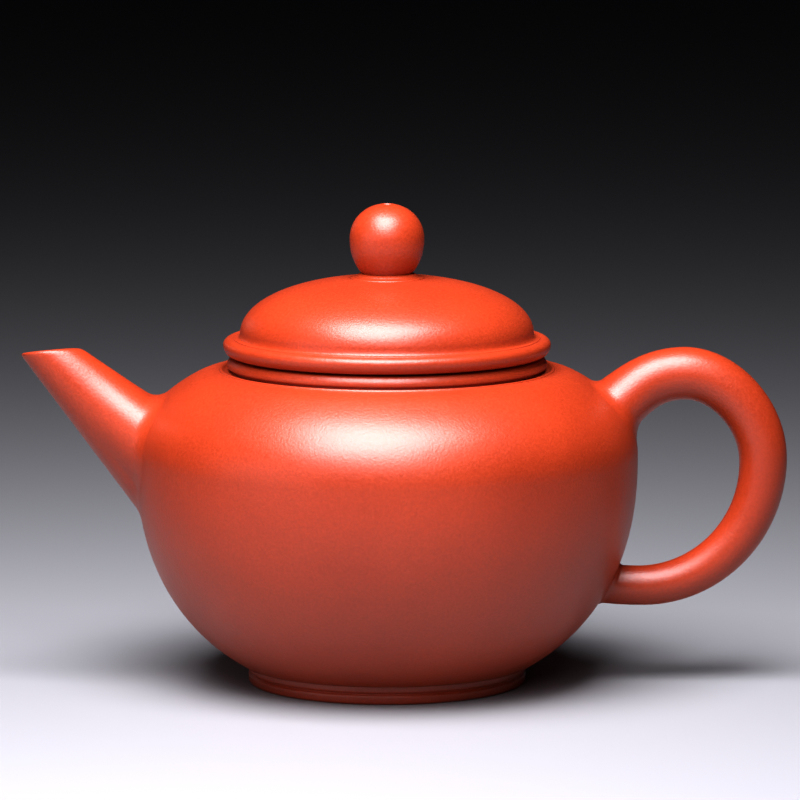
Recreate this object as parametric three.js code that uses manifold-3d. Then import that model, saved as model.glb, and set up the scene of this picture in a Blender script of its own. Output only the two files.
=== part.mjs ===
// A small round clay teapot with a straight spout, an ear-shaped handle and a lid with a ball knob.
// Millimetres, +Z up. The spout points to -X and the handle to +X.
// Every piece of clay is its own solid; the pieces of the pot and of the lid meet across a thin joint.

import * as THREE from 'three';
import { mergeVertices } from 'three/addons/utils/BufferGeometryUtils.js';
import Module from 'manifold-3d';

const wasm = await Module();
wasm.setup();

// ---- Driving dimensions ----

const JOINT = 0.3;                 // gap left between two pieces that are luted or rest on each other

// belly: two half superellipses that meet at the widest line
const BELLY_R = 40;                // outer radius at the widest line
const BELLY_Z = 36.5;              // height of the widest line
const BELLY_LOWER_POWER = 2.31;
const BELLY_UPPER = { rise: 18.5, power: 2.2 };
const WALL = 2.7;                  // wall of the belly

// foot
const FOOT_R = 22.2;               // outer radius of the foot ring
const FOOT_H = 2.7;                // height of the foot ring
const FOOT_W = 4.2;                // width of the flat that the pot stands on
const FOOT_GROOVE = 0.35;          // depth of the line cut round the foot ring
const FOOT_OVERHANG = 0.8;         // how far the belly stands out over the foot ring
const BASE_T = 2.4;                // thickness of the base disc

// mouth and neck
const MOUTH_R = 22.4;              // bore of the mouth
const NECK_T = 3.1;                // width of the neck ring at its fullest
const NECK_H = 1.45;               // height of the neck ring
const NECK_SEAT_DEPTH = 0.35;      // how deep its seat is cut in under the shoulder's edge
const NECK_SEAT_MARGIN = 0.2;      // how far the flat of that seat reaches beyond the ring
const NECK_GROOVE = 1.4;           // width of the groove left round the neck ring

// lid
const FLANGE_CLEARANCE = 0.4;      // radial clearance of the lid's flange in the mouth
const FLANGE_T = 2.0;              // wall of the flange
const FLANGE_DEPTH = 7.5;          // how far the flange hangs into the mouth
const RIM_OVERHANG = 0.6;          // how far the bead round the lid stands out over the neck ring
const RIM_BEAD_H = 2.7;            // height of that bead
const RIM_BEAD_FULLEST = 1.85;     // height in the bead at which it is fullest
const RIM_BEAD_ROUND = 0.8;        // depth of the bead's rounding
const RIM_STEP = 0.2;              // height of the small step between the bead and the dome
const DOME_INSET = 2.5;            // how far the foot of the dome stands in from the bead
const DOME_RISE = 9.3;             // height of the dome
const DOME_POWER = 2.15;
const DOME_T = 2.3;                // wall of the dome
const LANDING = 0.5;               // how far the dome's top is cut down for the knob's collar

// knob
const COLLAR_R = 5.6;
const COLLAR_H = 0.4;
const KNOB_R = 6.0;                // widest radius of the knob
const KNOB_UP = { rise: 5.9, power: 2.1 };
const KNOB_DOWN = { rise: 8.8, power: 1.6 };
const KNOB_NECK_R = 3.9;           // radius where the knob stands on its collar
const VENT_R = 0.8;                // air hole through knob, collar and dome

// spout: a straight cone, its root widened on the upper side only
const SPOUT_TILT = 45;             // degrees below the horizontal, from tip to root
const SPOUT_REACH = 13.6;          // from the widest line of the belly out to the middle of the tip
const SPOUT_OVER_MOUTH = 0.85;     // how far the middle of the tip stands above the neck ring
const SPOUT_TIP_R = 3.55;          // outer radius square to the axis at the tip
const SPOUT_TAPER = 0.187;         // radius gained per millimetre of length
const SPOUT_WALL = 1.4;            // wall at the root
const SPOUT_LIP = 0.9;             // wall at the lip
const SPOUT_CUT_TILT = 6;          // degrees by which the cut at the tip dips outwards
const SPOUT_FLARE = 4.5;           // widening of the upper side at the root
const SPOUT_FLARE_START = 15.4;    // distance from the tip at which it starts
const SPOUT_FLARE_LENGTH = 3.6;    // distance in which it grows to its full width

// strainer behind the spout
const STRAINER_CLEARANCE = 0.3;
const STRAINER_BULGE = 3.6;        // how far the dome stands into the pot
const STRAINER_T = 1.5;
const STRAINER_HOLE_R = 0.65;

// handle: an ear; points on its centre line, outwards from the belly's widest line and up from its height
const HANDLE_TOP = { out: 7.5, up: 13.1 };
const HANDLE_OUTERMOST = { out: 20, up: -1 };
const HANDLE_LOWEST = { out: 0.5, up: -21.1 };
const HANDLE_UPPER_ROOT_UP = 6.3;
const HANDLE_LOWER_ROOT_UP = -20.2;
const HANDLE_R_TOP = 4.2;          // half thickness at the top, the outermost point and the lowest point
const HANDLE_R_OUT = 3.8; 
const HANDLE_R_LOW = 3.15;
const HANDLE_FLARE = 1.9;          // widening at the upper root
const HANDLE_FLARE_LENGTH = 12;

// facets
const ROUND = 48;                  // sides of the large turned pieces
const SMALL_ROUND = 24;            // sides of the knob, collar, spout and strainer

const CLAY = new THREE.Color(0.72, 0.2, 0.1);
const INNER_CLAY = new THREE.Color(0.66, 0.2, 0.11);

// ---- Helpers ----

const rad = THREE.MathUtils.degToRad;
const lerp = THREE.MathUtils.lerp;

// keeps positions only, joins shared vertices and drops triangles without area
function clean(geometry) {
  geometry.deleteAttribute('normal');
  geometry.deleteAttribute('uv');
  const merged = mergeVertices(geometry, 1e-4);
  const index = Array.from(merged.index.array);
  const kept = [];
  for (let i = 0; i < index.length; i += 3) {
    const [a, b, c] = index.slice(i, i + 3);
    if (a !== b && b !== c && c !== a) kept.push(a, b, c);
  }
  merged.setIndex(kept);
  return merged;
}

function solid(geometry) {
  const vertProperties = new Float32Array(geometry.attributes.position.array);
  const triVerts = new Uint32Array(geometry.index.array);
  return new wasm.Manifold(new wasm.Mesh({ numProp: 3, vertProperties, triVerts }));
}

function geometryOf(manifold) {
  const mesh = manifold.getMesh();
  const geometry = new THREE.BufferGeometry();
  geometry.setAttribute('position', new THREE.BufferAttribute(mesh.vertProperties, 3));
  geometry.setIndex(new THREE.BufferAttribute(mesh.triVerts, 1));
  return geometry;
}

function cut(geometry, ...tools) {
  const result = tools.reduce((left, tool) => left.subtract(solid(tool)), solid(geometry));
  return geometryOf(result);
}

// a turned piece about Z from a closed outline of [radius, height], run anticlockwise
function turned(outline, sides = ROUND) {
  const points = [...outline, outline[0]].map(([r, z]) => new THREE.Vector2(r, z));
  return clean(new THREE.LatheGeometry(points, sides).rotateX(Math.PI / 2));
}

// a round bar bent along a path in the XZ plane; radius and shift are functions of the path's fraction
function bar(path, radiusAt, steps, shiftAt = () => 0) {
  const geometry = clean(new THREE.CylinderGeometry(1, 1, 1, SMALL_ROUND, steps));
  const position = geometry.attributes.position;
  for (let i = 0; i < position.count; i++) {
    const t = THREE.MathUtils.clamp(position.getY(i) + 0.5, 0, 1);
    const middle = path.getPointAt(t);
    const along = path.getTangentAt(t);
    const side = radiusAt(t) * position.getX(i) + shiftAt(t);
    const y = radiusAt(t) * position.getZ(i);
    position.setXYZ(i, middle.x - along.z * side, y, middle.z + along.x * side);
  }
  return geometry;
}

const halfWidth = (R, { rise, power }, height) =>
  R * Math.max(0, 1 - (height / rise) ** power) ** (1 / power);

const heightAt = (R, { rise, power }, r) => rise * (1 - (r / R) ** power) ** (1 / power);

// points on a belly or dome between two fractions of its rise, close together near the crown
function arc(R, half, z, from, to, count) {
  const sign = Math.sign(half.rise);
  const angles = [from, to].map((height) => Math.asin(Math.min(1, height / half.rise)));
  return Array.from({ length: count + 1 }, (_, i) => {
    const height = Math.abs(half.rise) * Math.sin(lerp(angles[0], angles[1], i / count));
    return [halfWidth(R, half, height), z + sign * height];
  });
}

const at = (x, z) => new THREE.Vector3(x, 0, z);

// ---- Belly ----

const BODY_BOTTOM_Z = FOOT_H + JOINT;
const NECK_R = MOUTH_R + NECK_T;
const SHOULDER_EDGE_R = NECK_R + NECK_GROOVE;
const NECK_SEAT_Z = BELLY_Z + heightAt(BELLY_R, BELLY_UPPER, SHOULDER_EDGE_R) - NECK_SEAT_DEPTH;

// the lower half is as tall as brings the belly down to the foot
const BELLY_LOWER = {
  rise: (BELLY_Z - BODY_BOTTOM_Z) /
    heightAt(BELLY_R, { rise: 1, power: BELLY_LOWER_POWER }, FOOT_R + FOOT_OVERHANG),
  power: BELLY_LOWER_POWER,
};

// outline of the belly's outside from the foot to the shoulder's edge, standing off by a margin
function bellyOutside(margin = 0) {
  const R = BELLY_R + margin;
  const lower = { ...BELLY_LOWER, rise: BELLY_LOWER.rise + margin };
  const upper = { ...BELLY_UPPER, rise: BELLY_UPPER.rise + margin };
  const down = arc(R, lower, 0, 0, BELLY_Z - BODY_BOTTOM_Z, 10).map(([r, z]) => [r, BELLY_Z - z]);
  const up = arc(R, upper, BELLY_Z, 0, heightAt(R, upper, SHOULDER_EDGE_R), 7);
  return [...down.reverse(), ...up.slice(1)];
}

const INNER_R = BELLY_R - WALL;
const INNER_LOWER = { ...BELLY_LOWER, rise: BELLY_LOWER.rise - WALL };
const INNER_UPPER = { ...BELLY_UPPER, rise: BELLY_UPPER.rise - WALL };
const MOUTH_UNDERSIDE_Z = NECK_SEAT_Z - WALL;
const BASE_TOP_Z = BODY_BOTTOM_Z + BASE_T;
const BASE_HOLE_R = halfWidth(INNER_R, INNER_LOWER, BELLY_Z - BASE_TOP_Z);
const BASE_R = BASE_HOLE_R - JOINT;

function bellyInside() {
  const up = arc(INNER_R, INNER_UPPER, BELLY_Z, 0, MOUTH_UNDERSIDE_Z - BELLY_Z, 6);
  const down = arc(INNER_R, INNER_LOWER, 0, 0, BELLY_Z - BASE_TOP_Z, 8);
  return [...up.reverse(), ...down.slice(1).map(([r, z]) => [r, BELLY_Z - z])];
}

function bodyWall() {
  const outline = [
    ...bellyOutside(),
    [NECK_R + NECK_SEAT_MARGIN, NECK_SEAT_Z], [MOUTH_R, NECK_SEAT_Z], [MOUTH_R, MOUTH_UNDERSIDE_Z],
    ...bellyInside(),
    [BASE_HOLE_R, BODY_BOTTOM_Z],
  ];
  return cut(turned(outline), strainerBore(STRAINER_R));
}

// everything inside the belly's outside, widened by the joint: it trims what is luted to the belly
function bellyEnvelope() {
  const outside = bellyOutside(JOINT);
  return turned([[0, outside[0][1]], ...outside, [0, outside[outside.length - 1][1]]]);
}

// ---- Base and foot ----

function baseDisc() {
  return turned([[0, BODY_BOTTOM_Z], [BASE_R, BODY_BOTTOM_Z], [BASE_R, BASE_TOP_Z], [0, BASE_TOP_Z]]);
}

function footRing() {
  const lineZ = FOOT_H * 0.62;
  const edge = FOOT_GROOVE;
  return turned([
    [FOOT_R - FOOT_W, 0], [FOOT_R - edge, 0], [FOOT_R, edge], [FOOT_R, lineZ - edge / 2],
    [FOOT_R - FOOT_GROOVE, lineZ], [FOOT_R, lineZ + edge / 2], [FOOT_R, FOOT_H], [FOOT_R - FOOT_W, FOOT_H],
  ]);
}

// ---- Neck ring ----

const NECK_BOTTOM_Z = NECK_SEAT_Z + JOINT;
const NECK_TOP_Z = NECK_BOTTOM_Z + NECK_H;

function neckRing() {
  const bulge = [-0.45, -0.08, 0, -0.12, -0.5];
  const face = bulge.map((dr, i) => [NECK_R + dr, lerp(NECK_BOTTOM_Z, NECK_TOP_Z, i / (bulge.length - 1))]);
  return turned([[MOUTH_R, NECK_BOTTOM_Z], ...face, [MOUTH_R, NECK_TOP_Z]]);
}

// ---- Lid ----

const RIM_Z = NECK_TOP_Z + JOINT;
const RIM_R = NECK_R + RIM_OVERHANG;
const DOME_R = RIM_R - DOME_INSET;
const RIM_TOP_Z = RIM_Z + RIM_BEAD_H + RIM_STEP;
const DOME_Z = RIM_TOP_Z + JOINT;
const FLANGE_R = MOUTH_R - FLANGE_CLEARANCE;
const LID_BORE_R = FLANGE_R - FLANGE_T;

function lidFlange() {
  const top = RIM_Z - JOINT;
  const bottom = top - FLANGE_DEPTH;
  return turned([[LID_BORE_R, bottom], [FLANGE_R, bottom], [FLANGE_R, top], [LID_BORE_R, top]]);
}

function lidRim() {
  const bead = Array.from({ length: 8 }, (_, i) => {
    const angle = rad(lerp(-90, 90, i / 7));
    const half = angle < 0 ? RIM_BEAD_FULLEST : RIM_BEAD_H - RIM_BEAD_FULLEST;
    const r = RIM_R - RIM_BEAD_ROUND * (1 - Math.cos(angle));
    return [r, RIM_Z + RIM_BEAD_FULLEST + half * Math.sin(angle)];
  });
  return turned([[LID_BORE_R, RIM_Z], ...bead, [DOME_R, RIM_TOP_Z], [LID_BORE_R, RIM_TOP_Z]]);
}

const DOME_HALF = { rise: DOME_RISE, power: DOME_POWER };
const LANDING_R = COLLAR_R + JOINT;
const LANDING_Z = DOME_Z + heightAt(DOME_R, DOME_HALF, LANDING_R) - LANDING;

function lidDome() {
  const inner = { rise: DOME_RISE - DOME_T - LANDING, power: DOME_POWER };
  const innerR = DOME_R - DOME_T;
  const outside = arc(DOME_R, DOME_HALF, DOME_Z, 0, heightAt(DOME_R, DOME_HALF, LANDING_R), 8);
  const inside = arc(innerR, inner, DOME_Z, 0, heightAt(innerR, inner, VENT_R), 7);
  return turned([...outside, [LANDING_R, LANDING_Z], [VENT_R, LANDING_Z], ...inside.reverse()]);
}

// ---- Knob ----

const COLLAR_Z = LANDING_Z + JOINT;
const KNOB_Z = COLLAR_Z + COLLAR_H + JOINT;

function knobCollar() {
  const top = COLLAR_Z + COLLAR_H;
  return turned([
    [VENT_R, COLLAR_Z], [COLLAR_R, COLLAR_Z], [COLLAR_R, COLLAR_Z + COLLAR_H * 0.4],
    [lerp(KNOB_NECK_R, COLLAR_R, 0.5), top], [VENT_R, top],
  ], SMALL_ROUND);
}

function knob() {
  const low = heightAt(KNOB_R, KNOB_DOWN, KNOB_NECK_R);
  const middle = KNOB_Z + low;
  const below = arc(KNOB_R, KNOB_DOWN, 0, 0, low, 6).map(([r, z]) => [r, middle - z]);
  const above = arc(KNOB_R, KNOB_UP, middle, 0, heightAt(KNOB_R, KNOB_UP, VENT_R), 8);
  return turned([[VENT_R, KNOB_Z], ...below.reverse(), ...above.slice(1)], SMALL_ROUND);
}

// ---- Spout ----

const spoutAxis = at(Math.cos(rad(SPOUT_TILT)), -Math.sin(rad(SPOUT_TILT)));
const spoutTip = at(-BELLY_R - SPOUT_REACH, NECK_TOP_Z + SPOUT_OVER_MOUTH);
const SPOUT_OVERRUN = 8;           // length added beyond the tip before it is cut
const SPOUT_LENGTH = SPOUT_REACH / spoutAxis.x + BELLY_R / 3;

function spoutCone(inset, lipInset) {
  const start = spoutTip.clone().addScaledVector(spoutAxis, -SPOUT_OVERRUN);
  const end = spoutTip.clone().addScaledVector(spoutAxis, SPOUT_LENGTH);
  const along = (t) => lerp(-SPOUT_OVERRUN, SPOUT_LENGTH, t);
  const flare = (t) => {
    const into = THREE.MathUtils.clamp((along(t) - SPOUT_FLARE_START) / SPOUT_FLARE_LENGTH, 0, 1);
    return inset ? 0 : SPOUT_FLARE * into ** 2 / 2;
  };
  const wall = (t) => lerp(lipInset, inset, THREE.MathUtils.clamp(along(t) / SPOUT_LENGTH, 0, 1));
  const radius = (t) => SPOUT_TIP_R + SPOUT_TAPER * along(t) - wall(t) + flare(t);
  return bar(new THREE.LineCurve3(start, end), radius, inset ? 1 : 26, flare);
}

function spout() {
  const size = 4 * BELLY_R;
  const above = clean(new THREE.BoxGeometry(size, size, size));
  above.translate(0, 0, size / 2).rotateY(rad(-SPOUT_CUT_TILT)).translate(spoutTip.x, 0, spoutTip.z);
  return cut(spoutCone(0, 0), spoutCone(SPOUT_WALL, SPOUT_LIP), bellyEnvelope(), above);
}

// ---- Strainer ----

// where the spout's axis crosses the middle of the belly's wall, and the spout's bore there
const STRAINER_Z = spoutTip.z - (SPOUT_REACH + WALL / 2) * Math.tan(rad(SPOUT_TILT));
const STRAINER_R = SPOUT_TIP_R + SPOUT_TAPER * (SPOUT_REACH + WALL / 2) / spoutAxis.x - SPOUT_WALL;

function strainerBore(radius) {
  const bore = clean(new THREE.CylinderGeometry(radius, radius, BELLY_R, SMALL_ROUND));
  return bore.rotateZ(Math.PI / 2).translate(-BELLY_R, 0, STRAINER_Z);
}

// a shallow pierced dome that fills the hole in the wall and bulges into the pot
function strainer() {
  const R = STRAINER_R - STRAINER_CLEARANCE;
  const rimFront = 0;
  const rimBack = STRAINER_T;
  const ball = (bulge, from, offset) => Array.from({ length: 6 }, (_, i) => {
    const angle = rad(lerp(0, 90, i / 5));
    return [from * Math.cos(angle), offset + bulge * Math.sin(angle)];
  });
  const outline = [
    [R, rimFront], ...ball(STRAINER_BULGE, R, rimBack),
    ...ball(STRAINER_BULGE - STRAINER_T * 0.4, R - STRAINER_T, rimFront).reverse(),
  ];
  const shell = turned(outline, SMALL_ROUND);
  const holes = [];
  const rings = [[0, 1], [0.36, 6], [0.66, 10]];
  for (const [reach, count] of rings) {
    for (let i = 0; i < count; i++) {
      const angle = 2 * Math.PI * i / count;
      const hole = new THREE.CylinderGeometry(STRAINER_HOLE_R, STRAINER_HOLE_R, 4 * STRAINER_R, 8);
      hole.rotateX(Math.PI / 2).translate(reach * R * Math.cos(angle), reach * R * Math.sin(angle), 0);
      holes.push(clean(hole));
    }
  }
  const front = BELLY_R - WALL / 2;
  return cut(shell, ...holes).rotateY(Math.PI / 2).translate(-front, 0, STRAINER_Z);
}

// ---- Handle ----

function handlePath() {
  const ear = ({ out, up }, alongOut = 0, alongUp = 0) =>
    at(BELLY_R + out + alongOut, BELLY_Z + up + alongUp);
  const quarter = 0.5523;          // arm of a cubic that follows a quarter of an ellipse
  const wide = HANDLE_OUTERMOST.out - HANDLE_TOP.out;
  const low = HANDLE_OUTERMOST.out - HANDLE_LOWEST.out;
  const high = HANDLE_TOP.up - HANDLE_OUTERMOST.up;
  const deep = HANDLE_OUTERMOST.up - HANDLE_LOWEST.up;
  const upperRoot = { out: -2 * WALL, up: HANDLE_UPPER_ROOT_UP };
  const lowerRoot = { out: HANDLE_LOWEST.out - low / 2, up: HANDLE_LOWER_ROOT_UP };
  const path = new THREE.CurvePath();
  path.add(new THREE.CubicBezierCurve3(
    ear(upperRoot), ear(upperRoot, wide * 0.3, (HANDLE_TOP.up - HANDLE_UPPER_ROOT_UP) * 0.45),
    ear(HANDLE_TOP, -wide * 0.5), ear(HANDLE_TOP)));
  path.add(new THREE.CubicBezierCurve3(
    ear(HANDLE_TOP), ear(HANDLE_TOP, wide * quarter),
    ear(HANDLE_OUTERMOST, 0, high * quarter), ear(HANDLE_OUTERMOST)));
  path.add(new THREE.CubicBezierCurve3(
    ear(HANDLE_OUTERMOST), ear(HANDLE_OUTERMOST, 0, -deep * quarter),
    ear(HANDLE_LOWEST, low * quarter), ear(HANDLE_LOWEST)));
  path.add(new THREE.QuadraticBezierCurve3(
    ear(HANDLE_LOWEST), ear(HANDLE_LOWEST, -low / 4), ear(lowerRoot)));
  return path;
}

function handle() {
  const path = handlePath();
  const lengths = path.getCurveLengths();
  const total = lengths[lengths.length - 1];
  const [topAt, outAt, lowAt] = lengths.map((length) => length / total);
  const radius = (t) => {
    const flare = HANDLE_FLARE * Math.max(0, 1 - t * total / HANDLE_FLARE_LENGTH) ** 2;
    if (t < topAt) return HANDLE_R_TOP + flare;
    if (t < outAt) return lerp(HANDLE_R_TOP, HANDLE_R_OUT, (t - topAt) / (outAt - topAt));
    return lerp(HANDLE_R_OUT, HANDLE_R_LOW, Math.min(1, (t - outAt) / (lowAt - outAt)));
  };
  return cut(bar(path, radius, 30), bellyEnvelope());
}

// ---- Assembly ----

const pieces = [
  ['body_wall', bodyWall(), CLAY],
  ['base_disc', baseDisc(), INNER_CLAY],
  ['foot_ring', footRing(), CLAY],
  ['neck_ring', neckRing(), CLAY],
  ['spout', spout(), CLAY],
  ['strainer', strainer(), INNER_CLAY],
  ['handle', handle(), CLAY],
  ['lid_flange', lidFlange(), INNER_CLAY],
  ['lid_rim', lidRim(), CLAY],
  ['lid_dome', lidDome(), CLAY],
  ['knob_collar', knobCollar(), CLAY],
  ['knob', knob(), CLAY],
];

const teapot = new THREE.Group();
for (const [name, geometry, color] of pieces) {
  const material = new THREE.MeshStandardMaterial({ color, roughness: 0.45, metalness: 0 });
  const mesh = new THREE.Mesh(geometry, material);
  mesh.name = name;
  teapot.add(mesh);
}

// the origin is on the table, under the middle of the pot's length over spout and handle
const box = new THREE.Box3().setFromObject(teapot);
teapot.position.x = -(box.min.x + box.max.x) / 2;
teapot.updateMatrixWorld(true);

export default teapot;
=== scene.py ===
from bisect import bisect_right
from math import asin, cos, hypot, pi, radians, sin, tan

import bpy
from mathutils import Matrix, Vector
from mathutils.geometry import interpolate_bezier


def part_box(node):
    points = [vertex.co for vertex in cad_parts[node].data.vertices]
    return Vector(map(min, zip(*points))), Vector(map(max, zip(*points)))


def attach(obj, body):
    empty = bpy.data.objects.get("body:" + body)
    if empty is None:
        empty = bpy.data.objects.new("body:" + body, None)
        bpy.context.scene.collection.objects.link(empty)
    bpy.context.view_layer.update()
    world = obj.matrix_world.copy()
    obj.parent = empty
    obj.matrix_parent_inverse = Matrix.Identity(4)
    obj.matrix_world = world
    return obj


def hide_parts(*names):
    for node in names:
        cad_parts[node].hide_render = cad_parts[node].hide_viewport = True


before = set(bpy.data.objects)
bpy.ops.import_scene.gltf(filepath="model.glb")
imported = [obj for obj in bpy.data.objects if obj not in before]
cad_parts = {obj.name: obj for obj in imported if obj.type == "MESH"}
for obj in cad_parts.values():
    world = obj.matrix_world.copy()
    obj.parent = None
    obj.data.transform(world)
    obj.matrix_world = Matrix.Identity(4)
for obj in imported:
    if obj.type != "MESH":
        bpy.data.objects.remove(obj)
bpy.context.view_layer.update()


# ---- Camera ----
# A long lens a metre in front of the pot, a little above it, so that the sides of pot and lid show
# nearly square and their rings as flat ovals. It looks along +Y with the spout on the left.

neck_low, neck_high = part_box("neck_ring")
AXIS_X = (neck_low.x + neck_high.x) / 2          # the upright line that pot and lid are turned about

bpy.ops.object.select_all(action="DESELECT")
look_down = radians(7.87)
aim_x, aim_z = AXIS_X + 0.00207, 0.0453          # the point in the middle of the view, inside the pot
camera_back = 1.0
bpy.ops.object.camera_add(location=(aim_x, -camera_back, aim_z + camera_back * tan(look_down)),
                          rotation=(radians(90) - look_down, 0, 0))
camera = bpy.context.object
camera.data.lens = 285.1
camera.data.sensor_width = 36
camera.data.clip_end = 20
bpy.context.scene.camera = camera


# ---- Table and light ----
# A plain table top that runs back into the dark. A large soft box hangs close over the pot and a little
# in front, a weaker sheet of light stands before it and a card far out on the left, and a faint lamp
# behind draws the pot's left edge.

def glow(name, location, aim, size, power, tint, spread=180):
    """A rectangular lamp turned to face a point."""
    bpy.ops.object.light_add(type="AREA", location=location)
    light = bpy.context.object
    light.name = name
    light.rotation_euler = (Vector(aim) - Vector(location)).to_track_quat("-Z", "Y").to_euler()
    light.data.shape = "RECTANGLE"
    light.data.size, light.data.size_y = size
    light.data.energy = power
    light.data.color = tint
    light.data.spread = radians(spread)


bpy.ops.mesh.primitive_plane_add(size=12, location=(0, 0, 0))
table_top = bpy.context.object
table_top.name = "table_top"
table_paint = bpy.data.materials.new("pale_table")
table_paint.use_nodes = True
table_shader = table_paint.node_tree.nodes["Principled BSDF"]
table_shader.inputs["Base Color"].default_value = (0.265, 0.276, 0.288, 1)
table_shader.inputs["Roughness"].default_value = 0.65
table_shader.inputs["Specular IOR Level"].default_value = 0.2
table_top.data.materials.append(table_paint)

soft_white = (1, 0.95, 1)
cool_white = (0.92, 0.95, 1)
glow("soft_box", (AXIS_X - 0.035, -0.17, 0.34), aim=(AXIS_X - 0.02, -0.12, 0),
     size=(0.28, 0.30), power=3.9, tint=soft_white, spread=150)
glow("front_sheet", (AXIS_X - 0.03, -0.38, 0.283), aim=(AXIS_X, 0, 0.045),
     size=(0.34, 0.18), power=0.7, tint=soft_white)
glow("left_card", (AXIS_X - 0.50, -0.35, 0.14), aim=(AXIS_X, 0, 0.04),
     size=(0.50, 0.30), power=0.6, tint=soft_white)
glow("rim_left", (AXIS_X - 0.35, 0.46, 0.17), aim=(AXIS_X, 0, 0.05),
     size=(0.12, 0.12), power=0.03, tint=cool_white)

world = bpy.data.worlds.new("dim_room")
world.use_nodes = True
world.node_tree.nodes["Background"].inputs["Color"].default_value = (0.0040, 0.0040, 0.0052, 1)
bpy.context.scene.world = world
bpy.context.scene.view_settings.view_transform = "Standard"
bpy.context.scene.view_settings.gamma = 0.8       # the middle tones a little deeper


# ---- Belly ----
# The round wall of the pot, beaten from one strip of clay, scraped smooth and burnished outside with a
# horn tool. It is open at the foot, where the base closes it, and at the mouth, cut out of its shoulder.

MM = 0.001
ROUND = 192                                       # steps round a large turned piece
WELD = 1e-6                                       # corners nearer together than this are one
CREASE = radians(40)                              # edges sharper than this stay sharp


def burnished_clay():
    """Fine red clay, rubbed to a satin gloss before firing: close grain, faint clouds, slight ripples."""
    clay = bpy.data.materials.new("burnished_clay")
    clay.use_nodes = True
    nodes, links = clay.node_tree.nodes, clay.node_tree.links
    shader = nodes["Principled BSDF"]
    place = nodes.new("ShaderNodeTexCoord").outputs["Object"]

    clouds = nodes.new("ShaderNodeTexNoise")
    clouds.inputs["Scale"].default_value = 45
    clouds.inputs["Detail"].default_value = 3
    links.new(place, clouds.inputs["Vector"])
    tone = nodes.new("ShaderNodeValToRGB")
    tone.color_ramp.elements[0].position = 0.35
    tone.color_ramp.elements[0].color = (0.305, 0.035, 0.0085, 1)
    tone.color_ramp.elements[1].position = 0.65
    tone.color_ramp.elements[1].color = (0.350, 0.042, 0.0105, 1)
    links.new(clouds.outputs["Fac"], tone.inputs["Fac"])

    grain = nodes.new("ShaderNodeTexNoise")
    grain.inputs["Scale"].default_value = 2400
    grain.inputs["Detail"].default_value = 3
    links.new(place, grain.inputs["Vector"])
    speckle = nodes.new("ShaderNodeMix")
    speckle.data_type = "RGBA"
    speckle.blend_type = "OVERLAY"
    speckle.inputs["Factor"].default_value = 0.25
    links.new(tone.outputs["Color"], speckle.inputs["A"])
    links.new(grain.outputs["Fac"], speckle.inputs["B"])
    links.new(speckle.outputs["Result"], shader.inputs["Base Color"])

    gloss = nodes.new("ShaderNodeMapRange")
    gloss.inputs["To Min"].default_value = 0.31
    gloss.inputs["To Max"].default_value = 0.45
    links.new(grain.outputs["Fac"], gloss.inputs["Value"])
    links.new(gloss.outputs["Result"], shader.inputs["Roughness"])

    shader.inputs["Specular IOR Level"].default_value = 0.64
    skin = nodes.new("ShaderNodeBump")
    skin.inputs["Distance"].default_value = 0.035 * MM
    links.new(grain.outputs["Fac"], skin.inputs["Height"])
    hand = nodes.new("ShaderNodeTexNoise")
    hand.inputs["Scale"].default_value = 260
    hand.inputs["Detail"].default_value = 2
    links.new(place, hand.inputs["Vector"])
    waves = nodes.new("ShaderNodeBump")
    waves.inputs["Distance"].default_value = 0.03 * MM
    links.new(hand.outputs["Fac"], waves.inputs["Height"])
    links.new(waves.outputs["Normal"], skin.inputs["Normal"])
    links.new(skin.outputs["Normal"], shader.inputs["Normal"])
    return clay


BURNISHED = burnished_clay()


def half_width(R, rise, power, height):
    """Radius of a superelliptic belly or dome at a height over its widest line."""
    return R * max(0, 1 - (height / rise) ** power) ** (1 / power)


def height_at(R, rise, power, r):
    """Height over that line at which the same curve has a radius."""
    return rise * (1 - (r / R) ** power) ** (1 / power)


def swell(R, rise, power, low, high, steps):
    """Points (radius, height) on it between two heights, set closer together near the crown."""
    start, end = asin(min(1, low / rise)), asin(min(1, high / rise))
    heights = [rise * sin(start + (end - start) * i / steps) for i in range(steps + 1)]
    return [(half_width(R, rise, power, h), h) for h in heights]


def eased(corners, steps=5):
    """A closed outline of (radius, height, rounding) corners, each rounded by a short arc."""
    outline = []
    for i, (r, z, ease) in enumerate(corners):
        here = Vector((r, z))
        if not ease:
            outline.append(here)
            continue
        ends = []
        for other_r, other_z, other_ease in (corners[i - 1], corners[(i + 1) % len(corners)]):
            side = Vector((other_r, other_z)) - here
            share = 0.49 if other_ease else 1         # an arc at the far end needs its half of the side
            ends.append(here + side.normalized() * min(ease, side.length * share))
        start, end = ends
        for k in range(steps + 1):
            t = k / steps
            outline.append(start * (1 - t) ** 2 + here * 2 * t * (1 - t) + end * t ** 2)
    return outline


def turned(name, outline, steps=ROUND):
    """A ring or disc turned about the pot's axis from a closed outline of (radius, height)."""
    bpy.ops.object.select_all(action="DESELECT")
    bpy.ops.mesh.primitive_circle_add(vertices=len(outline), location=(0, 0, 0))
    piece = bpy.context.object
    piece.name = name
    for corner, (r, z) in zip(piece.data.vertices, outline):
        corner.co = (AXIS_X + r, 0, z)
    bpy.ops.object.mode_set(mode="EDIT")
    bpy.ops.mesh.select_all(action="SELECT")
    bpy.ops.mesh.spin(steps=steps, angle=2 * pi, center=(AXIS_X, 0, 0), axis=(0, 0, 1))
    bpy.ops.mesh.select_all(action="SELECT")
    bpy.ops.mesh.remove_doubles(threshold=WELD)
    bpy.ops.mesh.delete_loose()
    bpy.ops.mesh.select_all(action="SELECT")
    bpy.ops.mesh.normals_make_consistent(inside=False)
    bpy.ops.object.mode_set(mode="OBJECT")
    bpy.ops.object.shade_smooth_by_angle(angle=CREASE)
    return piece


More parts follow.
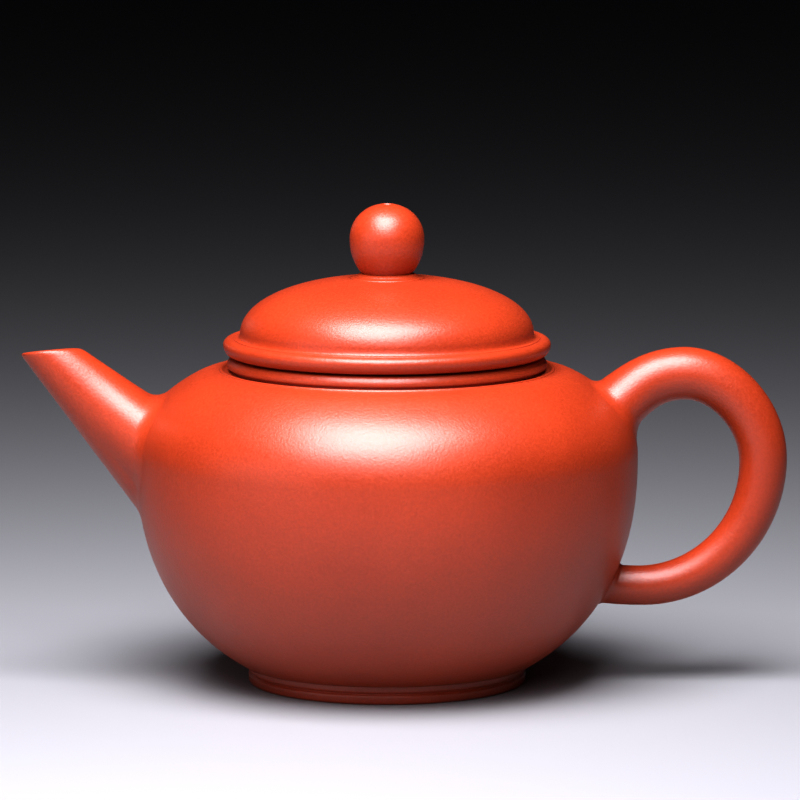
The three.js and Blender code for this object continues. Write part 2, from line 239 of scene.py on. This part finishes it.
def finish_clay(piece, node, body, clay=BURNISHED):
    """Gives a piece its clay and puts it in place of its node."""
    piece.data.materials.append(clay)
    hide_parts(node)
    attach(piece, body)


wall_low, wall_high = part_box("body_wall")
base_low, base_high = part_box("base_disc")
BELLY_R = (wall_high.y - wall_low.y) / 2
BELLY_Z = 36.5 * MM                               # height of the widest line
BELLY_LOWER = (38.6 * MM, 2.31)                   # rise and power of the curve below that line
BELLY_UPPER = (18.5 * MM, 2.2)                    # and of the one above it
WALL = 2.7 * MM
NECK_R = (neck_high.y - neck_low.y) / 2
MOUTH_R = NECK_R - 3.1 * MM
SEAT_Z = neck_low.z                               # the neck ring stands here on the shoulder
GROOVE_Z = SEAT_Z - 0.8 * MM                      # floor of the groove cut round the neck ring
THREAD_R = NECK_R + 0.95 * MM                     # a fine raised thread runs round the groove
THREAD_HALF, THREAD_RISE = 0.18 * MM, 0.24 * MM
EDGE_R = THREAD_R + 0.3 * MM                      # the belly's smooth skin ends at the thread's outer foot
SINK_DEPTH, SINK_FROM, SINK_RUN = 0.68 * MM, 31 * MM, 4 * MM


def belly_outside():
    """The skin from the foot up to the thread."""
    down = swell(BELLY_R, *BELLY_LOWER, 0, BELLY_Z - wall_low.z, 70)
    up = swell(BELLY_R, *BELLY_UPPER, 0, height_at(BELLY_R, *BELLY_UPPER, EDGE_R), 60)
    low_half = [(r, BELLY_Z - z, 0) for r, z in reversed(down)]
    return low_half + [(r, BELLY_Z + z - settled(r), 0) for r, z in up[1:-1]]


def settled(r):
    """How far the shoulder has sunk towards the neck ring, which weighs on it."""
    return SINK_DEPTH * max(0, (SINK_FROM - r) / SINK_RUN) ** 2


def belly_inside():
    """The inner face of the wall from under the mouth down to the base."""
    R, (low_rise, low_power), (up_rise, up_power) = BELLY_R - WALL, BELLY_LOWER, BELLY_UPPER
    down = swell(R, low_rise - WALL, low_power, 0, BELLY_Z - base_high.z, 40)
    up = swell(R, up_rise - WALL, up_power, 0, SEAT_Z - WALL - BELLY_Z, 24)
    return [(r, BELLY_Z + z, 0) for r, z in reversed(up)] + [(r, BELLY_Z - z, 0) for r, z in down[1:]]


shoulder_z = BELLY_Z + height_at(BELLY_R, *BELLY_UPPER, EDGE_R) - settled(EDGE_R)
thread_z = shoulder_z + THREAD_RISE
inside = belly_inside()
belly = turned("belly", eased([
    *belly_outside(),
    (EDGE_R, shoulder_z, 0.1 * MM), (THREAD_R + THREAD_HALF, thread_z, 0.16 * MM),
    (THREAD_R - THREAD_HALF, thread_z, 0.16 * MM), (THREAD_R - 0.5 * MM, GROOVE_Z, 0.2 * MM),
    (MOUTH_R, GROOVE_Z, 0), (MOUTH_R, SEAT_Z - WALL, 0.6 * MM),
    *inside, (inside[-1][0], wall_low.z, 0),
]))
finish_clay(belly, "body_wall", "pot")


# ---- Base ----
# A round slab of the same clay that closes the bottom of the belly, inside the foot ring. It is a little
# thinner in its middle, and no tool rubs it to a gloss.

def plain_clay():
    """The same clay with a dull, open grain, where no tool has rubbed it."""
    clay = bpy.data.materials.new("plain_clay")
    clay.use_nodes = True
    nodes, links = clay.node_tree.nodes, clay.node_tree.links
    shader = nodes["Principled BSDF"]
    place = nodes.new("ShaderNodeTexCoord").outputs["Object"]
    grain = nodes.new("ShaderNodeTexNoise")
    grain.inputs["Scale"].default_value = 1500
    grain.inputs["Detail"].default_value = 5
    links.new(place, grain.inputs["Vector"])
    tone = nodes.new("ShaderNodeValToRGB")
    tone.color_ramp.elements[0].position = 0.3
    tone.color_ramp.elements[0].color = (0.31, 0.050, 0.019, 1)
    tone.color_ramp.elements[1].position = 0.7
    tone.color_ramp.elements[1].color = (0.38, 0.067, 0.026, 1)
    links.new(grain.outputs["Fac"], tone.inputs["Fac"])
    links.new(tone.outputs["Color"], shader.inputs["Base Color"])
    shader.inputs["Roughness"].default_value = 0.62
    skin = nodes.new("ShaderNodeBump")
    skin.inputs["Distance"].default_value = 0.03 * MM
    links.new(grain.outputs["Fac"], skin.inputs["Height"])
    links.new(skin.outputs["Normal"], shader.inputs["Normal"])
    return clay


PLAIN = plain_clay()
BASE_R = (base_high.y - base_low.y) / 2
BASE_LET_IN = 0.4 * MM                            # its edge is let this far into the belly's wall
base = turned("base", eased([
    (0, base_low.z + 0.3 * MM, 0), (BASE_R * 0.8, base_low.z, 0), (BASE_R + BASE_LET_IN, base_low.z, 0),
    (BASE_R + BASE_LET_IN, base_high.z, 0), (BASE_R * 0.9, base_high.z - 0.2 * MM, 0),
    (0, base_high.z - 0.5 * MM, 0),
]))
finish_clay(base, "base_disc", "pot", PLAIN)


# ---- Foot ring ----
# A ring of clay luted under the belly and the base and trimmed true, so that the pot stands flat. A fine
# line is cut round its outside, and the ring is burnished with the belly.

foot_low, foot_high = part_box("foot_ring")
FOOT_R = (foot_high.y - foot_low.y) / 2
FOOT_W = 4.2 * MM
LINE_HALF, LINE_DEPTH = 0.3 * MM, 0.35 * MM
line_z = foot_high.z * 0.62
foot = turned("foot_ring_clay", eased([
    (FOOT_R - FOOT_W, foot_low.z, 0.4 * MM), (FOOT_R - 0.1 * MM, foot_low.z, 0.5 * MM),
    (FOOT_R, line_z - LINE_HALF, 0.2 * MM), (FOOT_R - LINE_DEPTH, line_z, 0.1 * MM),
    (FOOT_R, line_z + LINE_HALF, 0.2 * MM),
    (FOOT_R, foot_high.z + 0.5 * MM, 0), (FOOT_R - FOOT_W, foot_high.z + 0.3 * MM, 0),
]))
finish_clay(foot, "foot_ring", "pot")


# ---- Neck ring ----
# A band of clay luted round the mouth, undercut where it meets the groove of the shoulder. Its flat top,
# trimmed true, is the seat of the lid.

UNDERCUT_R = NECK_R - 0.9 * MM
NECK_SUNK_Z = GROOVE_Z - 0.2 * MM
neck = turned("neck_band", eased([
    (MOUTH_R, NECK_SUNK_Z, 0), (UNDERCUT_R, NECK_SUNK_Z, 0),
    (UNDERCUT_R, SEAT_Z - 0.35 * MM, 0.1 * MM), (NECK_R - 0.05 * MM, SEAT_Z - 0.22 * MM, 0.25 * MM),
    (NECK_R, SEAT_Z + 0.45 * MM, 0.45 * MM), (NECK_R - 0.6 * MM, neck_high.z, 0.45 * MM),
    (MOUTH_R, neck_high.z, 0.3 * MM),
]))
finish_clay(neck, "neck_ring", "pot")


# ---- Spout ----
# A straight hollow cone of clay, luted over the strainer. Its root is worked into the belly with a wet
# horn tool, in a full hollow above and a tighter one below, and its lip is cut nearly level and rounded.

SPOUT_AROUND = 128
LIP_STEPS, SPOUT_STEPS, BORE_STEPS = 8, 36, 20    # round the lip, along the outside, along the bore
spout_down = radians(44)
spout_tip = Vector((AXIS_X - BELLY_R - 14.3 * MM, 0, neck_high.z + 0.8 * MM))
spout_axis = Vector((cos(spout_down), 0, -sin(spout_down)))
spout_up = Vector((sin(spout_down), 0, cos(spout_down)))
lip_level = Vector((-0.1, 0.17, 1)).normalized()  # square to the cut, which is a little lower at the back
TIP_R, TAPER = 3.6 * MM, 0.165
SIDE_FLARE, FLARE_FROM = 2.4 * MM, 7 * MM         # the upper sides widen from here to the root
FLARE_RUN, FLARE_MOST = 11 * MM, 2.5 * MM         # the run in which they widen by that, and their limit
LIP_WALL, ROOT_WALL = 1.1 * MM, 1.4 * MM
SPOUT_CLEAR, SPOUT_LENGTH = 8 * MM, 40 * MM       # lengths well outside the belly, and well inside it
SPOUT_HOLLOW, HOLLOW_RISE = 1.4, 0.8              # reach of the hollow in mm, and how much fuller above


def spout_point(along, angle, out=0):
    """A point on the spout's skin, at a length from the tip and an angle round the axis from its top."""
    side = spout_up * cos(angle) + Vector((0, sin(angle), 0))
    upper_side = sin(angle) ** 2 * max(0, 0.5 + 0.8 * cos(angle))
    flare = SIDE_FLARE * upper_side * (max(0, along - FLARE_FROM) / FLARE_RUN) ** 2
    return spout_tip + spout_axis * along + side * (TIP_R + TAPER * along + min(flare, FLARE_MOST) + out)


def spout_cut(angle, out, height):
    """The length at which a line of the skin, or one beside it, meets a level near the cut mouth."""
    side = spout_up * cos(angle) + Vector((0, sin(angle), 0))
    slope = spout_axis.dot(lip_level) + TAPER * side.dot(lip_level)
    return (height - (TIP_R + out) * side.dot(lip_level)) / slope


def in_belly(point, margin):
    """Whether a point is inside the belly's outer skin, grown by a margin."""
    rise, power = BELLY_UPPER if point.z > BELLY_Z else BELLY_LOWER
    across = hypot(point.x - AXIS_X, point.y) / (BELLY_R + margin)
    return across ** power + (abs(point.z - BELLY_Z) / (rise + margin)) ** power < 1


def meets_belly(surface, free, buried, angle, out, margin):
    """How far along a luted piece a line of its surface comes within a margin of the belly."""
    for _ in range(40):
        middle = (free + buried) / 2
        if in_belly(surface(middle, angle, out), margin):
            buried = middle
        else:
            free = middle
    return buried


def worked_root(surface, free, buried, angle, hollow, steps=14):
    """The line on which a luted piece runs out over the belly in a hollow, then dips under its skin."""
    line = []
    for i in range(steps + 1):
        turn = pi / 2 * i / steps
        line.append((hollow * (1 - cos(turn)), hollow * (1 - sin(turn))))
    line += [(hollow + 0.5 * MM, -0.02 * MM), (hollow + 0.3 * MM, -1.0 * MM)]
    return [surface(meets_belly(surface, free, buried, angle, out, margin), angle, out)
            for out, margin in line]


def rolled(name, lines, closed):
    """A skin through lines side by side round a piece. Closed lines are rings; others run end to end."""
    lines = [*lines, lines[0]]
    if closed:
        lines = [[*line, line[0]] for line in lines]
    bpy.ops.object.select_all(action="DESELECT")
    bpy.ops.mesh.primitive_grid_add(x_subdivisions=len(lines[0]) - 1, y_subdivisions=len(lines) - 1)
    piece = bpy.context.object
    piece.name = name
    for vertex, point in zip(piece.data.vertices, [point for line in lines for point in line]):
        vertex.co = point
    bpy.ops.object.mode_set(mode="EDIT")
    bpy.ops.mesh.select_all(action="SELECT")
    bpy.ops.mesh.remove_doubles(threshold=WELD)
    bpy.ops.mesh.select_all(action="DESELECT")
    bpy.ops.mesh.select_non_manifold()
    bpy.ops.mesh.fill_holes(sides=0)
    bpy.ops.mesh.select_all(action="SELECT")
    bpy.ops.mesh.normals_make_consistent(inside=False)
    bpy.ops.object.mode_set(mode="OBJECT")
    bpy.ops.object.shade_smooth_by_angle(angle=CREASE)
    return piece


spout_lines = []
for i in range(SPOUT_AROUND):
    angle = 2 * pi * i / SPOUT_AROUND
    lip = []
    for k in range(LIP_STEPS + 1):
        turn = pi * k / LIP_STEPS
        out = -LIP_WALL / 2 * (1 - cos(turn))
        lip.append(spout_point(spout_cut(angle, out, LIP_WALL / 2 * (sin(turn) - 1)), angle, out))
    hollow = (SPOUT_HOLLOW + HOLLOW_RISE * cos(angle)) * MM
    root = worked_root(spout_point, SPOUT_CLEAR, SPOUT_LENGTH, angle, hollow)
    reach = meets_belly(spout_point, SPOUT_CLEAR, SPOUT_LENGTH, angle, 0, hollow)
    start = spout_cut(angle, 0, -LIP_WALL / 2)
    outside = [spout_point(start + (reach - start) * k / SPOUT_STEPS, angle)
               for k in range(1, SPOUT_STEPS)]
    bore_end = meets_belly(spout_point, SPOUT_CLEAR, SPOUT_LENGTH, angle, -ROOT_WALL, -1.0 * MM)
    bore_start = spout_cut(angle, -LIP_WALL, -LIP_WALL / 2)
    bore = [spout_point(bore_end + (bore_start - bore_end) * k / BORE_STEPS, angle,
                        -ROOT_WALL + (ROOT_WALL - LIP_WALL) * k / BORE_STEPS) for k in range(BORE_STEPS)]
    spout_lines.append([*reversed(lip), *outside, *root, *bore])
spout = rolled("spout_clay", spout_lines, closed=True)
finish_clay(spout, "spout", "pot")


# ---- Strainer ----
# A small pierced dome of clay, set in a round hole in the belly behind the spout, so that the leaves
# stay in the pot. It bulges inwards and its holes are punched one by one.

strainer_low, strainer_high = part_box("strainer")
STRAINER_Z = (strainer_low.z + strainer_high.z) / 2
STRAINER_R = (strainer_high.z - strainer_low.z) / 2
STRAINER_FRONT = strainer_low.x
STRAINER_BULGE = 3.6 * MM
STRAINER_T = 1.5 * MM
STRAINER_AROUND, STRAINER_STEPS = 96, 16
HOLE_R = 0.65 * MM
HOLE_RINGS = [(0, 1), (0.36, 6), (0.66, 10)]      # reach from the middle as part of the radius, and count
HOLE_TURN = 0.02                                  # the rings are punched a touch off the upright


def cut_by(piece, tool):
    """Takes a cutting tool's shape away from a piece."""
    cutting = piece.modifiers.new("cut", "BOOLEAN")
    cutting.operation = "DIFFERENCE"
    cutting.solver = "EXACT"
    cutting.object = tool
    bpy.ops.object.select_all(action="DESELECT")
    piece.select_set(True)
    bpy.context.view_layer.objects.active = piece
    bpy.ops.object.modifier_apply(modifier=cutting.name)
    bpy.data.objects.remove(tool)


def punch(radius, centre, depth, sides):
    """A round punch that lies along the pot's length."""
    bpy.ops.object.select_all(action="DESELECT")
    bpy.ops.mesh.primitive_cylinder_add(vertices=sides, radius=radius, depth=depth, location=centre,
                                        rotation=(0, pi / 2, 0))
    bpy.ops.object.transform_apply(location=True, rotation=True, scale=True)
    return bpy.context.object


strainer_hole_r = STRAINER_R + 0.3 * MM
cut_by(belly, punch(strainer_hole_r, (AXIS_X - BELLY_R, 0, STRAINER_Z), 20 * MM, STRAINER_AROUND))

rises = [pi / 2 * i / STRAINER_STEPS for i in range(STRAINER_STEPS + 1)]
dome_line = [(STRAINER_R * cos(a), STRAINER_T + STRAINER_BULGE * sin(a)) for a in rises]
hollow_line = [((STRAINER_R - STRAINER_T) * cos(a), (STRAINER_BULGE - 0.4 * STRAINER_T) * sin(a))
               for a in rises]
strainer_line = [(STRAINER_R, 0), *dome_line, *reversed(hollow_line)]
strainer_lines = []
for i in range(STRAINER_AROUND):
    angle = 2 * pi * i / STRAINER_AROUND
    strainer_lines.append([Vector((STRAINER_FRONT + depth, r * sin(angle), STRAINER_Z + r * cos(angle)))
                           for r, depth in strainer_line])
strainer = rolled("strainer_clay", strainer_lines, closed=True)
punches = []
for reach, count in HOLE_RINGS:
    for i in range(count):
        angle = 2 * pi * i / count + HOLE_TURN
        hole_y = reach * STRAINER_R * cos(angle)
        hole_z = STRAINER_Z + reach * STRAINER_R * sin(angle)
        punches.append(punch(HOLE_R, (STRAINER_FRONT, hole_y, hole_z), 30 * MM, 24))
bpy.ops.object.select_all(action="DESELECT")
for tool in punches:
    tool.select_set(True)
bpy.context.view_layer.objects.active = punches[0]
bpy.ops.object.join()
cut_by(strainer, punches[0])
finish_clay(strainer, "strainer", "pot", PLAIN)


# ---- Handle ----
# A solid roll of clay, thinner towards its lower end, bent to an ear and luted on. Its upper root is
# worked out over the belly and its lower root is only pressed on and wiped.

HANDLE_AROUND = 96
HANDLE_STEPS = 160
# Points on its middle line, in mm: out from the belly's widest line, and up from it.
UPPER_ROOT = (-5.4, 6.3)
TOP, OUTERMOST, LOWEST = (7.5, 13.1), (20, -1), (0.5, -21.1)
LOWER_ROOT = (-9.25, -20.2)
HANDLE_R_TOP, HANDLE_R_OUT, HANDLE_R_LOW = 4.2 * MM, 3.8 * MM, 3.15 * MM
HANDLE_FLARE, FLARE_LENGTH = 0.4 * MM, 13 * MM
HANDLE_SIDE_FLARE = 1.5 * MM                      # the root widens more towards the front and back
FLARE_GAIN = 1.3
HANDLE_BURIED = -8 * MM                           # a length that is well inside the belly
UPPER_HOLLOW, UPPER_HOLLOW_CHANGE = 1.6, -0.3     # in mm, and how it changes towards the back
LOWER_HOLLOW = 0.9 * MM


def ear(point, along_out=0, along_up=0):
    """A point in the handle's plane, or one beside it."""
    return Vector((AXIS_X + BELLY_R + (point[0] + along_out) * MM, 0, BELLY_Z + (point[1] + along_up) * MM))


quarter = 0.5523                                  # arm of a curve that follows a quarter of an ellipse
two_thirds = 2 / 3                                # arm of a curve that has a single corner
upper_wide, upper_tall = OUTERMOST[0] - TOP[0], TOP[1] - OUTERMOST[1]
lower_wide, lower_tall = OUTERMOST[0] - LOWEST[0], OUTERMOST[1] - LOWEST[1]
lower_corner = ear(LOWEST, -lower_wide / 4)
ear_curves = [
    (ear(UPPER_ROOT), ear(UPPER_ROOT, upper_wide * 0.3, (TOP[1] - UPPER_ROOT[1]) * 0.45),
     ear(TOP, -upper_wide * 0.5), ear(TOP)),
    (ear(TOP), ear(TOP, upper_wide * 0.48), ear(OUTERMOST, 0, upper_tall * 0.54), ear(OUTERMOST)),
    (ear(OUTERMOST), ear(OUTERMOST, 0, -lower_tall * quarter), ear(LOWEST, lower_wide * quarter),
     ear(LOWEST)),
    (ear(LOWEST), ear(LOWEST).lerp(lower_corner, two_thirds),
     ear(LOWER_ROOT).lerp(lower_corner, two_thirds), ear(LOWER_ROOT)),
]
ear_line, milestones = [ear(UPPER_ROOT)], []
for curve in ear_curves:
    ear_line += interpolate_bezier(*curve, 120)[1:]
    milestones.append(len(ear_line) - 1)
lengths = [0]
for a, b in zip(ear_line, ear_line[1:]):
    lengths.append(lengths[-1] + (b - a).length)
top_at, out_at, low_at = (lengths[i] for i in milestones[:3])


def handle_point(along, angle, out=0):
    """A point on the handle's skin, at a length from its upper end and an angle round it from its back."""
    i = min(max(bisect_right(lengths, along) - 1, 1), len(ear_line) - 3)
    part = (along - lengths[i]) / (lengths[i + 1] - lengths[i])
    here = ear_line[i].lerp(ear_line[i + 1], part)
    tangent = (ear_line[i + 1] - ear_line[i - 1]).lerp(ear_line[i + 2] - ear_line[i], part).normalized()
    back = Vector((-tangent.z, 0, tangent.x))
    if along < top_at:
        flare = HANDLE_FLARE + HANDLE_SIDE_FLARE * sin(angle) ** 2
        radius = HANDLE_R_TOP + flare * (FLARE_GAIN * min(1, max(0, 1 - along / FLARE_LENGTH))) ** 2
    elif along < out_at:
        radius = HANDLE_R_TOP + (HANDLE_R_OUT - HANDLE_R_TOP) * (along - top_at) / (out_at - top_at)
    else:
        radius = HANDLE_R_OUT + (HANDLE_R_LOW - HANDLE_R_OUT) * min(1, (along - out_at) / (low_at - out_at))
    return here + (back * cos(angle) + Vector((0, sin(angle), 0))) * (radius + out)


handle_lines = []
for i in range(HANDLE_AROUND):
    angle = 2 * pi * i / HANDLE_AROUND
    upper_hollow = (UPPER_HOLLOW + UPPER_HOLLOW_CHANGE * cos(angle)) * MM
    upper = worked_root(handle_point, top_at, HANDLE_BURIED, angle, upper_hollow)
    lower = worked_root(handle_point, low_at, lengths[-1], angle, LOWER_HOLLOW)
    start = meets_belly(handle_point, top_at, HANDLE_BURIED, angle, 0, upper_hollow)
    end = meets_belly(handle_point, low_at, lengths[-1], angle, 0, LOWER_HOLLOW)
    between = [handle_point(start + (end - start) * k / HANDLE_STEPS, angle)
               for k in range(1, HANDLE_STEPS)]
    handle_lines.append([*reversed(upper), *between, *lower])
handle = rolled("handle_clay", handle_lines, closed=False)
finish_clay(handle, "handle", "pot")


# ---- Lid flange ----
# The tube of clay luted under the lid, which drops into the mouth and keeps the lid in place. It is left
# unburnished, as its fit in the mouth is trued by grinding.

flange_low, flange_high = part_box("lid_flange")
FLANGE_R = (flange_high.y - flange_low.y) / 2
LID_BORE_R = FLANGE_R - 2 * MM
flange_top_z = flange_high.z + 0.1 * MM           # let a little into the rim
flange = turned("lid_flange_clay", eased([
    (LID_BORE_R, flange_low.z, 0.5 * MM), (FLANGE_R, flange_low.z, 0.5 * MM),
    (FLANGE_R, flange_top_z, 0), (LID_BORE_R, flange_top_z, 0),
]))
finish_clay(flange, "lid_flange", "lid_seat", PLAIN)


# ---- Lid rim ----
# The flat ring of the lid, which rests on the neck ring. Its edge is shaped to a full bead, and a fine
# line runs round where the hollow foot of the dome dies out on it.

rim_low, rim_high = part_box("lid_rim")
dome_low, dome_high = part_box("lid_dome")
RIM_R = (rim_high.y - rim_low.y) / 2
DOME_R = (dome_high.y - dome_low.y) / 2
BEAD_FULLEST = rim_low.z + 1.6 * MM
BEAD_TOP = rim_low.z + 2.7 * MM
BEAD_DEEP_BELOW, BEAD_DEEP_ABOVE = 1.4 * MM, 1.3 * MM
BEAD_STEPS = 36
BEAD_START, BEAD_TURN = -86, 176                  # in degrees from its fullest line
DOME_TOE_R = DOME_R + 0.8 * MM                    # where the hollow foot of the dome runs out
bead = []
for i in range(BEAD_STEPS + 1):
    turn = radians(BEAD_START + BEAD_TURN * i / BEAD_STEPS)
    if turn < 0:
        deep, tall = BEAD_DEEP_BELOW, BEAD_FULLEST - rim_low.z
    else:
        deep, tall = BEAD_DEEP_ABOVE, BEAD_TOP - BEAD_FULLEST
    bead.append((RIM_R - deep * (1 - cos(turn)), BEAD_FULLEST + tall * sin(turn), 0))
rim = turned("lid_rim_clay", eased([
    (LID_BORE_R, rim_low.z, 0), *bead,
    (DOME_TOE_R + 0.1 * MM, BEAD_TOP - 0.1 * MM, 0.1 * MM),
    (DOME_TOE_R - 0.2 * MM, BEAD_TOP - 0.15 * MM, 0), (LID_BORE_R, BEAD_TOP - 0.15 * MM, 0),
]))
finish_clay(rim, "lid_rim", "lid")


# ---- Lid dome ----
# A thin disc of clay beaten to a low, hollow dome and luted on the rim. Its foot is smoothed out over
# the rim, its top is scraped flat for the knob's collar, and the air hole goes through its middle.

DOME_POWER = 2.15
DOME_Z = dome_low.z
DOME_WALL = 2.3 * MM
VENT_R = 0.8 * MM
DOME_RISE = 9.3 * MM
COLLAR_R = 5.6 * MM
LANDING_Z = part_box("knob_collar")[0].z            # the flat on which the collar stands
DOME_FOOT_R = DOME_R - 0.2 * MM
FOOT_RISE = 0.8 * MM                              # height at which the dome's own curve begins
TOE_Z = BEAD_TOP + 0.02 * MM
DOME_SUNK_Z = BEAD_TOP - 0.25 * MM                # the dome is let into the rim down to here
outer = swell(DOME_FOOT_R, DOME_RISE, DOME_POWER, FOOT_RISE,
              height_at(DOME_FOOT_R, DOME_RISE, DOME_POWER, COLLAR_R + 0.5 * MM), 60)
inner_R, inner_rise = DOME_R - DOME_WALL, DOME_RISE - DOME_WALL
inner = swell(inner_R, inner_rise, DOME_POWER, 0, height_at(inner_R, inner_rise, DOME_POWER, VENT_R), 40)
dome = turned("lid_dome_clay", eased([
    (DOME_TOE_R, DOME_SUNK_Z, 0), (DOME_TOE_R, TOE_Z, 0.1 * MM),
    (outer[0][0] + 0.08 * MM, TOE_Z, 1.1 * MM),
    *[(r, DOME_Z + z, 0) for r, z in outer],
    (COLLAR_R + 0.35 * MM, LANDING_Z, 0.2 * MM), (VENT_R, LANDING_Z, 0),
    *[(r, DOME_Z + z, 0) for r, z in reversed(inner)],
    (inner_R, DOME_SUNK_Z, 0),
]))
finish_clay(dome, "lid_dome", "lid")


# ---- Knob and its collar ----
# A ball of clay, rolled, flattened a little on top and luted on a small round collar that rises to a low
# mound in its middle. The air hole goes down through both.

collar_low, collar_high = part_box("knob_collar")
knob_low, knob_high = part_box("knob")
KNOB_SHARE = 0.99                                 # the ball is a touch slimmer than its node
KNOB_R = (knob_high.y - knob_low.y) / 2 * KNOB_SHARE
KNOB_LOWER = (7.2 * MM, 2.1)                      # rise and power of the curve below its widest line
KNOB_UPPER = (5.6 * MM, 2.05)                     # and of the one above it
NECKING_R = 3.75 * MM                             # where the ball stands on its collar
VENT_EASE = 0.3 * MM                              # the edge of the air hole is taken off
SMALL_ROUND = 96
collar_sunk_z = collar_low.z - 0.2 * MM
mound_z = knob_low.z + 0.3 * MM
collar = turned("knob_collar_clay", eased([
    (VENT_R, collar_sunk_z, 0), (COLLAR_R + 0.3 * MM, collar_sunk_z, 0),
    (COLLAR_R + 0.25 * MM, collar_high.z - 0.12 * MM, 0.25 * MM),
    (COLLAR_R - 0.6 * MM, collar_high.z, 0.3 * MM),
    (COLLAR_R - 1.05 * MM, knob_low.z + 0.15 * MM, 0.35 * MM),
    (NECKING_R - 0.2 * MM, mound_z, 0), (VENT_R, mound_z, 0),
]), SMALL_ROUND)
finish_clay(collar, "knob_collar", "lid")

below = height_at(KNOB_R, *KNOB_LOWER, NECKING_R)
KNOB_Z = knob_low.z + below
under = swell(KNOB_R, *KNOB_LOWER, 0, below, 36)
over = swell(KNOB_R, *KNOB_UPPER, 0, height_at(KNOB_R, *KNOB_UPPER, VENT_R + VENT_EASE), 48)
ball = turned("knob_clay", eased([
    (VENT_R, knob_low.z, 0), *[(r, KNOB_Z - z, 0) for r, z in reversed(under)],
    *[(r, KNOB_Z + z, 0) for r, z in over[1:]], (VENT_R, KNOB_Z + over[-1][1] - VENT_EASE, 0),
]), SMALL_ROUND)
finish_clay(ball, "knob", "lid")
